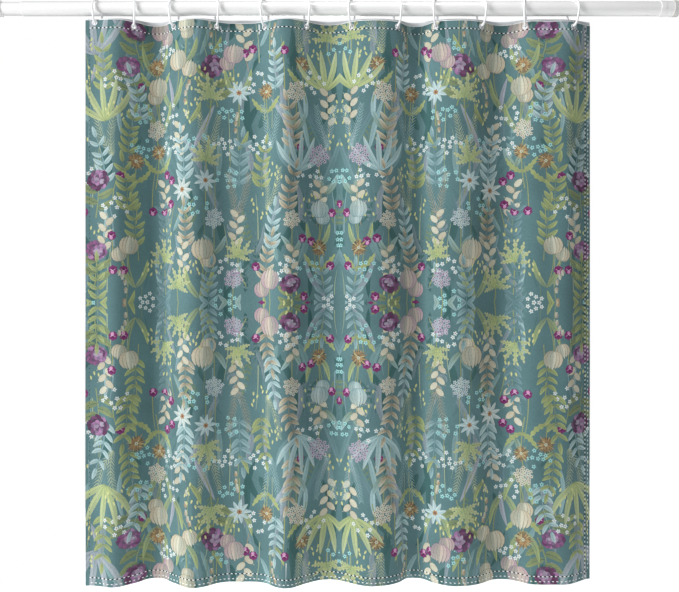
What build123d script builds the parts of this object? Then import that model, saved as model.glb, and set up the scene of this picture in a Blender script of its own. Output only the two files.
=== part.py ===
"""Printed shower curtain with a liner, twelve snap rings and a spring tension rod.

Row frame: origin at the centre of the right foot's wall face, on the rod's axis. The rod runs along -X,
+Z is up, and the room side of the curtain faces -Y. Millimetres.
"""

import os
from math import asin, atan, cos, degrees, radians, sin, sqrt, tan

from build123d import *

os.makedirs("parts", exist_ok=True)

# tension rod
WALL_TO_WALL = 2290.0
OUTER_OD, OUTER_WALL = 46.0, 1.0
INNER_OD, INNER_WALL = 42.4, 0.8
OUTER_TUBE_MOUTH = -2156.0
CAP_OD, COLLAR_OD, FOOT_OD = 48.4, 50.0, 52.0
FOOT_THICK, CAP_END, CAP_COLLAR = 20.0, 62.0, 16.0

# preload mechanism inside the tubes
LOCK_FROM, LOCK_TO = -1560.0, -1500.0
SPINDLE_R = 4.0
BUSH_FACE = -1690.0
SPRING_R, SPRING_WIRE_R, SPRING_PITCH = 14.5, 1.3, 10.0

# snap rings: a large upper arc round the rod, a smaller lower arc that carries the cloth
STRAND_R = 3.25
TOP_R, TOP_Z = 31.0, -4.3
LOW_R, LOW_Z = 24.0, -32.5
RING_YAW = 20.0
SNAP_AT, SNAP_HALF_GAP = 137.0, 1.9
RING_COUNT = 12
FIRST_RING = -345.0
RING_SPANS = [158, 144, 151, 126, 151, 148, 139, 158, 141, 132, 120]
END_RING_TILT = 6.0
BALL_R = 3.85

# cloth
CLOTH_TOP, CLOTH_HEIGHT = -43.0, 1850.0
CLOTH_THICK, HEADER_THICK, HEM_THICK = 0.5, 0.4, 0.4
FLANK_SLOPE = 29.0
FOLD_R = 55.0
SEAT_GAP = 0.45
EYELET_HOLE_R, EYELET_BARREL_R, EYELET_RIM_R, EYELET_LENGTH = 6.2, 7.0, 9.5, 3.4
HEADER_HEIGHT, BOTTOM_HEM, SIDE_HEM = 32.0, 30.0, 24.0

# liner
LINER_TOP, LINER_HEIGHT, LINER_THICK = -32.0, 1850.0, 0.3
LINER_BACK, LINER_SHARE = 15.5, 0.56
LINER_HOLE_R = 8.0


def save(builder, name):
    """Name one solid and write it as its own STEP file."""
    builder.part.label = name
    export_step(builder.part, f"parts/{name}.step")


def tube(x_from, x_to, outer_r, inner_r=0.0):
    """A round bar or tube along X, added to the part being built."""
    with BuildSketch(Plane(origin=(x_from, 0, 0), x_dir=(0, 1, 0), z_dir=(1, 0, 0))) as section:
        Circle(outer_r)
        if inner_r:
            Circle(inner_r, mode=Mode.SUBTRACT)
    extrude(section.sketch, amount=x_to - x_from)


# ---- where the rings hang ----
ring_x = [FIRST_RING]
for span in RING_SPANS:
    ring_x.append(ring_x[-1] - span)

# the cloth turns forward (-Y) to the left of odd rings and backward to the left of even ones
ring_side = [1 if number % 2 else -1 for number in range(1, RING_COUNT + 1)]


def fold_corners():
    """The plan of the cloth's folds, left edge to right edge, as the corners of its straight flanks."""
    slope = tan(radians(FLANK_SLOPE))
    corners = [(ring_x[0] + 66, 27.5), (ring_x[0] + 34, 34 * slope)]
    for n, span in enumerate(RING_SPANS[:-1]):
        crest = span / 2 * slope
        corners.append((ring_x[n] - span / 2, crest if n % 2 else -crest))
    corners.append((ring_x[10] - 36, -36 * slope))
    corners.append((ring_x[11] - 40, -16.5))
    return corners[::-1]


CORNERS = fold_corners()


def cloth_at(x):
    """The cloth's depth and its flank's slope, in radians, at a place on a straight flank."""
    for (x0, y0), (x1, y1) in zip(CORNERS, CORNERS[1:]):
        if x0 <= x <= x1:
            rise = (y1 - y0) / (x1 - x0)
            return y0 + rise * (x - x0), atan(rise)
    raise ValueError(x)


def liner_at(x):
    return LINER_BACK + LINER_SHARE * cloth_at(x)[0]


def ring_turn(n):
    """The yaw of one ring, and how far it tips towards the room, both in degrees."""
    if n == RING_COUNT - 1:
        return -12.0, END_RING_TILT
    return ring_side[n] * RING_YAW, 0.0


def ring_plane(n):
    """The plane of one ring: its x runs from the room side to the bath side, its y runs up."""
    yaw, tip = (radians(a) for a in ring_turn(n))
    back = (-sin(yaw), cos(yaw) * cos(tip), -cos(yaw) * sin(tip))
    up = (0, sin(tip), cos(tip))
    normal = (
        back[1] * up[2] - back[2] * up[1],
        back[2] * up[0] - back[0] * up[2],
        back[0] * up[1] - back[1] * up[0],
    )
    return Plane(origin=(ring_x[n], 0, 0), x_dir=back, z_dir=normal)


def strand_point(n, across):
    """A point on the lower arc of one ring, so far behind its lowest point."""
    return ring_plane(n).from_local_coords(Vector(across, LOW_Z - sqrt(LOW_R**2 - across**2), 0))


def hanging_point(n, depth_at, hole_r, thick):
    """The centre of the hole that hangs on one ring, where its strand passes a layer at depth_at(x)."""
    low, high = -LOW_R * 0.9, LOW_R * 0.9
    for _ in range(40):
        middle = (low + high) / 2
        point = strand_point(n, middle)
        if point.Y < depth_at(point.X):
            low = middle
        else:
            high = middle
    rise = abs(asin(low / LOW_R) - radians(ring_turn(n)[1]))
    drop = hole_r - STRAND_R / cos(rise) - thick / 2 * tan(rise) - SEAT_GAP
    return strand_point(n, low) - Vector(0, 0, drop)


# ---- snap rings ----
def snap_ring(n):
    """An open plastic ring: a ball end over a small gap near the rod's top, and a bead before the eyelet."""
    lean = degrees(asin((TOP_R - LOW_R) / (TOP_Z - LOW_Z)))
    plane = ring_plane(n)
    with BuildPart() as ring:
        with BuildLine(plane) as path:
            front = CenterArc((0, TOP_Z), TOP_R, SNAP_AT + SNAP_HALF_GAP, 180 + lean - SNAP_AT - SNAP_HALF_GAP)
            low = CenterArc((0, LOW_Z), LOW_R, 180 + lean, 180 - 2 * lean)
            Line(front @ 1, low @ 0)
            back = CenterArc((0, TOP_Z), TOP_R, -lean, SNAP_AT - SNAP_HALF_GAP + lean)
            Line(low @ 1, back @ 0)
        with BuildSketch(Plane(origin=front @ 0, z_dir=front % 0)):
            Circle(STRAND_R)
        sweep(path=path.wire())
        with Locations(back @ 1):
            Sphere(BALL_R)
        for angle, radius in ((248, 4.6), (238, 4.1)):
            with Locations(low.arc_center + plane.x_dir * (LOW_R * cos(radians(angle)))
                           + plane.y_dir * (LOW_R * sin(radians(angle)))):
                Sphere(radius)
    save(ring, f"ring_{n + 1:02d}")


for n in range(RING_COUNT):
    snap_ring(n)


# ---- eyelets ----
def eyelet_plane(n):
    """The eyelet's seat: its origin is on the cloth, and z points to the bath side."""
    centre = hanging_point(n, lambda x: cloth_at(x)[0], EYELET_HOLE_R, EYELET_LENGTH)
    lean = cloth_at(centre.X)[1]
    return Plane(origin=centre, z_dir=(-sin(lean), cos(lean), 0))


def eyelet(n):
    seat = eyelet_plane(n)
    with BuildPart() as ring:
        for start, thick, outer in ((-1.45, 0.8, EYELET_RIM_R), (-1.0, 2.6, EYELET_BARREL_R), (1.2, 0.8, EYELET_RIM_R)):
            with BuildSketch(seat.offset(start)):
                Circle(outer)
                Circle(EYELET_HOLE_R, mode=Mode.SUBTRACT)
            extrude(amount=thick)
    save(ring, f"eyelet_{n + 1:02d}")


for n in range(RING_COUNT):
    eyelet(n)


# ---- cloth ----
def folded_slab(near, far, z_low, z_high, start=0.0, end=0.0, share=1.0, back=0.0):
    """A thin sheet that follows the folds. near and far are its faces' distances behind the fold line, start and
    end trim its side edges, and share and back flatten it and set it behind the cloth."""
    lean = cos(radians(FLANK_SLOPE * share))
    first, last = CORNERS[0][0] + start, CORNERS[-1][0] - end
    line = [(first, cloth_at(first)[0]), *CORNERS[1:-1], (last, cloth_at(last)[0])]
    points = [(x, y * share + back) for x, y in line]
    with BuildSketch(Plane.XY.offset(z_low)) as outline:
        with BuildLine():
            front = FilletPolyline(*[(x, y + near / lean) for x, y in points], radius=FOLD_R)
            rear = FilletPolyline(*[(x, y + far / lean) for x, y in points], radius=FOLD_R)
            Line(front @ 0, rear @ 0)
            Line(front @ 1, rear @ 1)
        make_face()
    extrude(outline.sketch, amount=z_high - z_low)


def flank_strip(first, last, near, far, z_low, z_high):
    """A flat vertical strip on an edge's straight flank, between two distances along X from the edge."""
    left = first < CORNERS[len(CORNERS) // 2][0]
    a, b = (CORNERS[0], CORNERS[1]) if left else (CORNERS[-2], CORNERS[-1])
    rise = (b[1] - a[1]) / (b[0] - a[0])
    lean = cos(atan(rise))
    with BuildSketch(Plane.XY.offset(z_low)) as outline:
        with BuildLine():
            Polyline(
                (first, a[1] + rise * (first - a[0]) + near / lean),
                (last, a[1] + rise * (last - a[0]) + near / lean),
                (last, a[1] + rise * (last - a[0]) + far / lean),
                (first, a[1] + rise * (first - a[0]) + far / lean),
                close=True,
            )
        make_face()
    extrude(outline.sketch, amount=z_high - z_low)


def eyelet_holes(radius):
    """Cut a hole for each eyelet through the part being built."""
    for n in range(RING_COUNT):
        with BuildSketch(eyelet_plane(n).offset(-4)) as hole:
            Circle(radius)
        extrude(hole.sketch, amount=8, mode=Mode.SUBTRACT)


cloth_bottom = CLOTH_TOP - CLOTH_HEIGHT
half = CLOTH_THICK / 2
layer = half + 0.1

with BuildPart() as curtain_panel:
    folded_slab(-half, half, cloth_bottom, CLOTH_TOP)
    eyelet_holes(EYELET_BARREL_R + 0.3)
save(curtain_panel, "curtain_panel")

with BuildPart() as header_band:
    folded_slab(layer, layer + HEADER_THICK, CLOTH_TOP - HEADER_HEIGHT, CLOTH_TOP, 2, 2)
    eyelet_holes(EYELET_BARREL_R + 0.3)
save(header_band, "header_band")

with BuildPart() as bottom_hem:
    folded_slab(layer, layer + HEM_THICK, cloth_bottom, cloth_bottom + BOTTOM_HEM, 2, 2)
save(bottom_hem, "bottom_hem")

# the side hems are turned back between the header band and the bottom hem
side_low, side_high = cloth_bottom + BOTTOM_HEM + 1, CLOTH_TOP - HEADER_HEIGHT - 1
left_edge, right_edge = CORNERS[0][0], CORNERS[-1][0]

with BuildPart() as left_hem:
    flank_strip(left_edge, left_edge + SIDE_HEM, layer, layer + HEM_THICK, side_low, side_high)
save(left_hem, "left_hem")

with BuildPart() as right_hem:
    flank_strip(right_edge - SIDE_HEM, right_edge, layer, layer + HEM_THICK, side_low, side_high)
save(right_hem, "right_hem")

# saddle stitching stands a thread's thickness proud of the room side
thread_near, thread_far = -half - 0.35, -half - 0.05

with BuildPart() as top_stitching:
    folded_slab(thread_near, thread_far, CLOTH_TOP - 27, CLOTH_TOP - 26, 16, 21)
save(top_stitching, "top_stitching")

with BuildPart() as bottom_stitching:
    folded_slab(thread_near, thread_far, cloth_bottom + 26, cloth_bottom + 27, 16, 21)
save(bottom_stitching, "bottom_stitching")

with BuildPart() as left_stitching:
    flank_strip(left_edge + 13, left_edge + 14, thread_near, thread_far, cloth_bottom + 8, CLOTH_TOP - 4)
save(left_stitching, "left_stitching")

with BuildPart() as right_stitching:
    flank_strip(right_edge - 19, right_edge - 18, thread_near, thread_far, cloth_bottom + 8, CLOTH_TOP - 4)
save(right_stitching, "right_stitching")


# ---- liner ----
with BuildPart() as liner_panel:
    folded_slab(0, LINER_THICK, LINER_TOP - LINER_HEIGHT, LINER_TOP, 3, 1, LINER_SHARE, LINER_BACK)
    for n in range(RING_COUNT):
        at = hanging_point(n, liner_at, LINER_HOLE_R, LINER_THICK)
        with BuildSketch(Plane(origin=(at.X, at.Y - 6, at.Z), z_dir=(0, 1, 0))):
            Circle(LINER_HOLE_R)
        extrude(amount=12, mode=Mode.SUBTRACT)
save(liner_panel, "liner_panel")


# ---- tension rod ----
outer_r, outer_bore = OUTER_OD / 2, OUTER_OD / 2 - OUTER_WALL
inner_r, inner_bore = INNER_OD / 2, INNER_OD / 2 - INNER_WALL

with BuildPart() as outer_tube:
    tube(OUTER_TUBE_MOUTH, -FOOT_THICK - 3.6, outer_r, outer_bore)
    # a small drain hole under the tube, near the right foot
    with BuildSketch(Plane(origin=(-102, 0, -outer_r - 2), z_dir=(0, 0, 1))):
        Circle(2.2)
    extrude(amount=4, mode=Mode.SUBTRACT)
save(outer_tube, "outer_tube")


def end_cap(name, wall, side, bore):
    """A plastic cap over a tube's end, with a wider collar at its inner edge. side is 1 to the right."""
    with BuildPart() as cap:
        inner_end, floor = wall - side * CAP_END, wall - side * (FOOT_THICK + 3)
        collar_end = inner_end + side * CAP_COLLAR
        tube(min(inner_end, collar_end), max(inner_end, collar_end), COLLAR_OD / 2, bore)
        tube(min(collar_end, floor), max(collar_end, floor), CAP_OD / 2, bore)
        tube(min(floor, wall - side * FOOT_THICK), max(floor, wall - side * FOOT_THICK), CAP_OD / 2, 8)
    save(cap, name)


def foot(name, wall, side):
    """A rubber foot with a flat wall face, and a stud that plugs into the cap's floor."""
    with BuildPart() as rubber:
        face, back = wall, wall - side * (FOOT_THICK - 0.05)
        tube(min(face, back), max(face, back), FOOT_OD / 2)
        stud = back - side * 2.8
        tube(min(stud, back), max(stud, back), 7.9)
        rims = rubber.edges().filter_by(GeomType.CIRCLE).filter_by(lambda e: e.radius > 20)
        fillet(rims.filter_by(lambda e: abs(e.arc_center.X - face) < 1), 2.5)
        back_rim = rubber.edges().filter_by(GeomType.CIRCLE).filter_by(lambda e: e.radius > 25.9)
        fillet(back_rim.filter_by(lambda e: abs(e.arc_center.X - back) < 1), 1.5)
    save(rubber, name)


end_cap("right_cap", 0.0, 1, outer_r + 0.1)
foot("right_foot", 0.0, 1)
end_cap("left_cap", -WALL_TO_WALL, -1, inner_r + 0.1)
foot("left_foot", -WALL_TO_WALL, -1)

with BuildPart() as mouth_bush:
    tube(OUTER_TUBE_MOUTH + 0.05, OUTER_TUBE_MOUTH + 55, outer_bore - 0.05, inner_r + 0.05)
    tube(OUTER_TUBE_MOUTH - 3, OUTER_TUBE_MOUTH - 0.05, outer_r, inner_r + 0.05)
    tube(OUTER_TUBE_MOUTH - 0.05, OUTER_TUBE_MOUTH + 0.05, outer_bore - 0.05, inner_r + 0.05)
save(mouth_bush, "mouth_bush")

with BuildPart() as inner_tube:
    tube(-WALL_TO_WALL + FOOT_THICK + 3.6, BUSH_FACE - 10.1, inner_r, inner_bore)
save(inner_tube, "inner_tube")

with BuildPart() as inner_bush:
    tube(BUSH_FACE - 10, BUSH_FACE, outer_bore - 0.1, SPINDLE_R + 0.08)
    tube(BUSH_FACE - 50, BUSH_FACE - 10, inner_bore - 0.05, SPINDLE_R + 0.08)
save(inner_bush, "inner_bush")

# the lock: a cone on the spindle spreads a split sleeve against the outer tube
with BuildPart() as lock_cone:
    with BuildSketch(Plane.XZ):
        with BuildLine():
            Polyline((LOCK_FROM, SPINDLE_R + 0.1), (LOCK_FROM, 18), (LOCK_FROM + 6, 18), (LOCK_TO - 4, 11),
                     (LOCK_TO, 11), (LOCK_TO, SPINDLE_R + 0.1), close=True)
        make_face()
    revolve(axis=Axis.X)
save(lock_cone, "lock_cone")

with BuildPart() as lock_sleeve:
    with BuildSketch(Plane.XZ):
        with BuildLine():
            Polyline((LOCK_FROM + 7, 18.1), (LOCK_FROM + 7, outer_bore - 0.05), (LOCK_TO - 5, outer_bore - 0.05),
                     (LOCK_TO - 5, 11.6), close=True)
        make_face()
    revolve(axis=Axis.X)
    # one lengthwise slit lets the sleeve spread
    with Locations(((LOCK_FROM + LOCK_TO) / 2, 0, 16)):
        Box(70, 1.5, 16, mode=Mode.SUBTRACT)
save(lock_sleeve, "lock_sleeve")

with BuildPart() as spindle:
    tube(-1790, LOCK_TO + 4, SPINDLE_R)
    tube(LOCK_TO + 0.1, LOCK_TO + 4, 9)
save(spindle, "spindle")

with BuildPart() as spindle_nut:
    tube(-1790, -1780, 9, SPINDLE_R + 0.03)
save(spindle_nut, "spindle_nut")

with BuildPart() as preload_spring:
    spring_low = BUSH_FACE + SPRING_WIRE_R + 0.2
    spring_length = LOCK_FROM - BUSH_FACE - 2 * SPRING_WIRE_R - 0.4
    with BuildLine():
        coil = Helix(SPRING_PITCH, spring_length, SPRING_R, center=(spring_low, 0, 0), direction=(1, 0, 0))
    with BuildSketch(Plane(origin=coil @ 0, z_dir=coil % 0)):
        Circle(SPRING_WIRE_R)
    sweep(path=coil, is_frenet=True)
save(preload_spring, "preload_spring")
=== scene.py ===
"""Shower curtain on a tension rod: the visual model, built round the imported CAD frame.

Metres, +Z up, room at -Y. Places on the flat cloth are in mm: u from its left edge, v down from its top.
"""

import math
import random

import bpy
import numpy as np
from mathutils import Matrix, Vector
from mathutils.geometry import delaunay_2d_cdt


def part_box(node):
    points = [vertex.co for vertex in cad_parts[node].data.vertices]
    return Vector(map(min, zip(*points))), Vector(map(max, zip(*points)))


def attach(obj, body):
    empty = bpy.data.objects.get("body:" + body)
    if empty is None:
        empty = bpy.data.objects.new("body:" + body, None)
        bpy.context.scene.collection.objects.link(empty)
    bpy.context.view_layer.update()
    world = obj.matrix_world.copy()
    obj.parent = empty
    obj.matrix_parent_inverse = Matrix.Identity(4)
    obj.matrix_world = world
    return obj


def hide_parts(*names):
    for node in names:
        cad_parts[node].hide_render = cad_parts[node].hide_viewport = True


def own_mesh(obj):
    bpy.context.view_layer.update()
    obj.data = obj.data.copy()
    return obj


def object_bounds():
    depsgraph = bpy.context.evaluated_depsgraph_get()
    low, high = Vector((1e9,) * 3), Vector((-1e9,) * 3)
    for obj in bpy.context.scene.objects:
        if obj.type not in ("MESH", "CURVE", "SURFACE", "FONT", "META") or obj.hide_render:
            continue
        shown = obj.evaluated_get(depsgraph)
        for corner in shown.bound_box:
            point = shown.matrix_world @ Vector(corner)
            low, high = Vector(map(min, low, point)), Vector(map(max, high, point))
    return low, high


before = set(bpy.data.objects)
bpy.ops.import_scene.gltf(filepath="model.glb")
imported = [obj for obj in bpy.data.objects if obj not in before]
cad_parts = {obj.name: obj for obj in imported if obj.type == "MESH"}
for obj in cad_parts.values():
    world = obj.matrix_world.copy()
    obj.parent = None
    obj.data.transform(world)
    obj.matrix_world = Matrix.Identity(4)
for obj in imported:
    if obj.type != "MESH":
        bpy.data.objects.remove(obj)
cad_box = [list(corner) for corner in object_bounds()]
MM = 0.001
RING_COUNT = 12
RING_NUMBERS = range(1, RING_COUNT + 1)


def top_and_length(name):
    low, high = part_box(name)
    return high[2] / MM, (high[2] - low[2]) / MM


# ---------------------------------------------------------------- cloth: flat sizes in mm
CLOTH_TOP, HEIGHT = top_and_length("curtain_panel")
LINER_TOP, LINER_HEIGHT = top_and_length("liner_panel")
LEFT_EDGE, RIGHT_EDGE = 30.0, 75.0
SPAN, LAST_SPAN = 158.6, 132.0
TAUT = 0.978
FLANK = math.radians(29.0)
END_FLANK = math.radians(-1.5)
HEADER, HEM, SIDE_HEM = 32.0, 30.0, 24.0


# ================================================================ folds
def eyelet_centre(number):
    low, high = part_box(f"eyelet_{number:02d}")
    return [(a + b) / 2 / MM for a, b in zip(low, high)]


def heading(t, start, end, odd, even):
    """The cloth's direction in plan along one span, for t from -1 to 1."""
    return ((start + end) / 2 + (end - start) / 2 * np.sin(np.pi * t / 2) + odd * np.sin(np.pi * t)
            + even * np.cos(np.pi * t / 2) ** 2)


def solve_span(dx, dy, length, start, end):
    """The fold of a given cloth length that reaches (dx, dy): its odd and even amounts."""
    t = np.linspace(-1, 1, 161)
    odd, even = 0.05, 0.0
    for _ in range(60):
        def miss(a, b):
            h = heading(t, start, end, a, b)
            return np.array([np.mean(np.cos(h)) * length - dx, np.mean(np.sin(h)) * length - dy])
        now, step = miss(odd, even), 1e-4
        slope = np.array([(miss(odd + step, even) - now) / step, (miss(odd, even + step) - now) / step]).T
        change = np.linalg.lstsq(slope, -now, rcond=1e-3)[0]
        odd += float(np.clip(change[0], -0.1, 0.1))
        even += float(np.clip(change[1], -0.1, 0.1))
    return odd, even


centres = [eyelet_centre(n) for n in RING_NUMBERS]
flank = [FLANK if n % 2 else -FLANK for n in range(1, RING_COUNT)] + [END_FLANK]
# the eyelets are even in the cloth, but wider where the rings are furthest apart and closer at its left end
gaps = [max(LAST_SPAN if n == RING_COUNT - 1 else SPAN, math.dist(centres[n - 1][:2], centres[n][:2]) / TAUT)
        for n in range(1, RING_COUNT)]
WIDTH = LEFT_EDGE + sum(gaps) + RIGHT_EDGE
eyelet_u = [LEFT_EDGE + sum(gaps[n:]) for n in range(RING_COUNT)]
eyelet_holes = [(u, CLOTH_TOP - centre[2]) for u, centre in zip(eyelet_u, centres)]
along, turn = [], []
for n in range(RING_COUNT - 1, 0, -1):
    left, right = n, n - 1
    length = gaps[right]
    dx, dy = centres[right][0] - centres[left][0], centres[right][1] - centres[left][1]
    odd, even = solve_span(dx, dy, length, flank[left], flank[right])
    t = np.linspace(-1, 1, int(length) + 1)
    keep = slice(0, -1) if n > 1 else slice(0, None)
    along.append((eyelet_u[left] + (t + 1) / 2 * length)[keep])
    turn.append(heading(t, flank[left], flank[right], odd, even)[keep])
before = np.arange(0, LEFT_EDGE, 1.0)
after = np.arange(eyelet_u[0] + 1, WIDTH + 1, 1.0)
curl = (1 - before / LEFT_EDGE) ** 2
along = np.concatenate([before, *along, after])
turn = np.concatenate([END_FLANK + math.radians(10) * curl, *turn,
                       FLANK - math.radians(4) * (after - eyelet_u[0]) / RIGHT_EDGE])
middle_turn = (turn[1:] + turn[:-1]) / 2
run = np.diff(along)
plan_x = np.concatenate([[0], np.cumsum(np.cos(middle_turn) * run)])
plan_y = np.concatenate([[0], np.cumsum(np.sin(middle_turn) * run)])
plan_x += centres[-1][0] - np.interp(LEFT_EDGE, along, plan_x)
plan_y += centres[-1][1] - np.interp(LEFT_EDGE, along, plan_y)


def plan(u, down):
    """The cloth's place in plan, at a share of the way down. Its far folds press flat against the liner."""
    y = np.interp(u, along, plan_y) * (1 + 0.1 * down ** 1.3)
    far = np.maximum(y - 28, 0)
    sway = 4.0 * down * np.sin(u / 310 + 0.8) * np.sin(np.pi * np.clip(u / WIDTH, 0, 1))
    return np.interp(u, along, plan_x) + sway, y - 0.45 * far ** 2 / (far + 6)


def hang(u, v, proud=0.0):
    """Where a point of the flat cloth hangs, in metres. proud is mm towards the room."""
    u, v = np.asarray(u, float), np.asarray(v, float)
    h = np.interp(u, along, turn)
    down = np.clip(v / HEIGHT, 0, 1)
    x, y = plan(u, down)
    ripple = down ** 0.8 * (1.1 * np.sin(u / 23 + 2.2 * np.sin(v / 330)) * np.sin(u / 61 + v / 500)
                            + 0.8 * np.sin(u / 11.5 + 1.4 * np.sin(v / 240 + u / 90)) * np.sin(u / 47 - v / 390))
    near_top = np.exp(-np.maximum(v, 0) / 70)
    nearest = np.min(np.abs(u[..., None] - np.array(eyelet_u)), axis=-1)
    sag = -2.2 * (1 - np.exp(-(nearest / 42) ** 2)) * near_top
    pucker = -1.2 * np.exp(-(nearest / 16) ** 2) * np.exp(-((v - 60) / 50) ** 2)
    y = y + ripple + pucker
    out = np.stack([x + np.sin(h) * proud, y - np.cos(h) * proud, CLOTH_TOP + sag - v], axis=-1)
    return out * MM


def liner_hang(u, v, proud=0.0):
    """The liner keeps behind the cloth: flatter folds, and the dents of its packing creases."""
    u, v = np.asarray(u, float), np.asarray(v, float)
    down = np.clip(v / LINER_HEIGHT, 0, 1)
    x, y = plan(u, down)
    y = 13.5 + 0.55 * y + 0.0045 * np.maximum(y, 0) ** 2 + 0.9 * down
    from_crease = np.minimum(np.abs((v - 170) % 305 - 152), 60) / 12
    dent = 0.9 * np.exp(-from_crease ** 2) * np.clip(v / 150, 0, 1)
    return np.stack([x, y + dent - proud, LINER_TOP - v], axis=-1) * MM


# ================================================================ print: drawn flat, in mm
# One quarter is drawn, from the left edge (u) and the top edge (v, downwards) to the middle, and mirrored.
# It is drawn square; DROP is how far it stretches down to fill the cloth's quarter.
HALF = WIDTH / 2
DROP = HEIGHT / WIDTH
dice = random.Random(23)
shapes = []


def srgb(r, g, b):
    return (r / 255, g / 255, b / 255)


GROUND = srgb(76, 114, 112)
GROUND_DARK = srgb(54, 94, 94)
DARK = srgb(48, 80, 80)
PALE_BLUE = srgb(170, 198, 202)
ICE = srgb(205, 222, 224)
GREY_LILAC = srgb(168, 172, 184)
GREY_BLUE = srgb(128, 158, 165)
SMOKE = srgb(104, 134, 142)
AQUA = srgb(138, 200, 202)
CREAM = srgb(226, 218, 196)
BLUSH = srgb(218, 196, 178)
PEACH = srgb(206, 168, 132)
TAN = srgb(176, 150, 120)
OCHRE = srgb(176, 130, 82)
RUST = srgb(140, 88, 54)
STRAW = srgb(206, 204, 156)
LIME = srgb(188, 196, 126)
OLIVE = srgb(152, 158, 104)
LILAC = srgb(188, 174, 194)
MAUVE = srgb(172, 112, 164)
MAGENTA = srgb(136, 60, 120)
PLUM = srgb(92, 30, 74)
PINK = srgb(212, 156, 194)
WHITE = srgb(220, 226, 222)


def mix(a, b, t):
    return tuple(x + (y - x) * t for x, y in zip(a, b))


def add(outline, colour, tip=None, start=None, end=None):
    """One filled outline. tip is its colour at end, when start and end give the way its colour changes."""
    if len(outline) > 2:
        shapes.append((outline, colour, tip or colour, start or (0, 0), end or (0, 1)))


def turned(u, v, along, across, angle):
    """A point so far along and across from (u, v), on an axis turned by angle degrees from rightwards."""
    a = math.radians(angle)
    return (u + along * math.cos(a) - across * math.sin(a), v + along * math.sin(a) + across * math.cos(a))


def smooth(points, steps):
    """Points on a smooth curve through a few given ones."""
    ends = [points[0], *points, points[-1]]
    out = []
    spans = len(points) - 1
    for i in range(steps + 1):
        at = min(i / steps * spans, spans - 1e-9)
        k = int(at)
        t = at - k
        p0, p1, p2, p3 = ends[k:k + 4]
        out.append(tuple(
            0.5 * (2 * b + (c - a) * t + (2 * a - 5 * b + 4 * c - d) * t * t + (3 * b - a - 3 * c + d) * t ** 3)
            for a, b, c, d in zip(p0, p1, p2, p3)))
    return out


def sides(path, half_width):
    """The two edges of a band along a path, where half_width is a function of the share of its length."""
    left, right = [], []
    n = len(path) - 1
    for i, (u, v) in enumerate(path):
        a, b = path[max(i - 1, 0)], path[min(i + 1, n)]
        du, dv = b[0] - a[0], b[1] - a[1]
        size = math.hypot(du, dv) or 1
        w = half_width(i / n)
        left.append((u - dv / size * w, v + du / size * w))
        right.append((u + dv / size * w, v - du / size * w))
    return left, right


def line(points, width, colour, steps=None, taper=0.5):
    path = smooth(points, steps or 3 * (len(points) - 1))
    left, right = sides(path, lambda t: width / 2 * (1 - taper * t))
    add(left + right[::-1], colour)


def blade(points, width, colour, tip=None, vein=None, steps=None, bulge=0.45, shade=0.12, outline=0.0):
    """A leaf or strap along a path: two tones either side of its midrib. bulge is where it is widest."""
    power = math.log(0.5) / math.log(bulge)
    path = smooth(points, steps or max(8, 4 * (len(points) - 1)))

    def half(t):
        return width / 2 * math.sin(math.pi * min(max(t, 0.0), 1.0) ** power) ** 0.85

    tip = tip or colour
    if outline:
        left, right = sides(path, lambda t: half(t) + outline)
        add(left + right[::-1], DARK)
    left, right = sides(path, half)
    add(left + right[::-1][1:-1], colour, tip, path[0], path[-1])
    darker = mix(colour, DARK, shade), mix(tip, DARK, shade)
    add(left + path[::-1][1:-1], darker[0], darker[1], path[0], path[-1])
    if vein:
        path = path[:-1:2]
        left, right = sides(path, lambda t: max(width * 0.03, 0.5) * (1 - 0.6 * t))
        add(left + right[::-1], vein)


def leaf(u, v, angle, length, width, colour, vein=DARK, bend=0.08, ribs=0, tip=None):
    """A leaf from its base at (u, v)."""
    middle = turned(u, v, length * 0.5, length * bend, angle)
    end = turned(u, v, length, 0, angle)
    blade([(u, v), middle, end], width, colour, tip, vein, 5 if length < 70 else 7, 0.42)
    for k in range(ribs):
        at = 0.2 + 0.6 * k / max(ribs - 1, 1)
        base = turned(u, v, length * at, length * bend * 4 * at * (1 - at), angle)
        for side in (1, -1):
            stop = turned(base[0], base[1], width * 0.34, side * width * 0.3 * (1 - abs(at - 0.45)), angle)
            line([base, stop], 0.9, mix(colour, vein, 0.6), 2)


def oval(u, v, length, width, angle, colour, tip=None, point=0.0, steps=8):
    """A petal from its base at (u, v); point draws its far end out to a tip."""
    outline = []
    for k in range(steps):
        t = 2 * math.pi * k / steps
        along = length / 2 * (1 - math.cos(t))
        across = width / 2 * math.sin(t) * (1 - point * (1 - math.cos(t)) / 2)
        outline.append(turned(u, v, along, across, angle))
    add(outline, colour, tip, (u, v), turned(u, v, length, 0, angle))


def rosette(u, v, radius, petals, colour, centre, start, wide, tip=None):
    """Round petals about (u, v), with a round centre if it has a colour."""
    for k in range(petals):
        oval(u, v, radius, radius * wide, start + 360 * k / petals, colour, tip, 0.0, 6)
    if centre:
        core = radius * 0.28
        oval(u - core, v, 2 * core, 2 * core, 0, centre, steps=6)


def bearing(a, b):
    """The angle of the way from a to b, in degrees."""
    return math.degrees(math.atan2(b[1] - a[1], b[0] - a[0]))


def sprig(points, pairs, length, width, colour, vein=DARK, stem=2.2, tip=None):
    """A stem with leaves in pairs, and one at its end."""
    steps, first, last = 24, 0.12, 0.96
    path = smooth(points, steps)
    line(points, stem, colour, 10)
    for k in range(pairs):
        i = int((first + (last - first) * k / pairs) * steps)
        size = 1 - 0.25 * k / pairs
        for side in (1, -1):
            angle = bearing(path[i], path[min(i + 1, steps)]) + side * (50 + dice.uniform(-7, 7))
            leaf(*path[i], angle, length * size * dice.uniform(0.92, 1.06), width * size, colour, vein,
                 side * 0.08, 0, tip)
    leaf(*path[-1], bearing(path[-2], path[-1]), length * 0.85, width * 0.85, colour, vein, 0, 0, tip)


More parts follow.
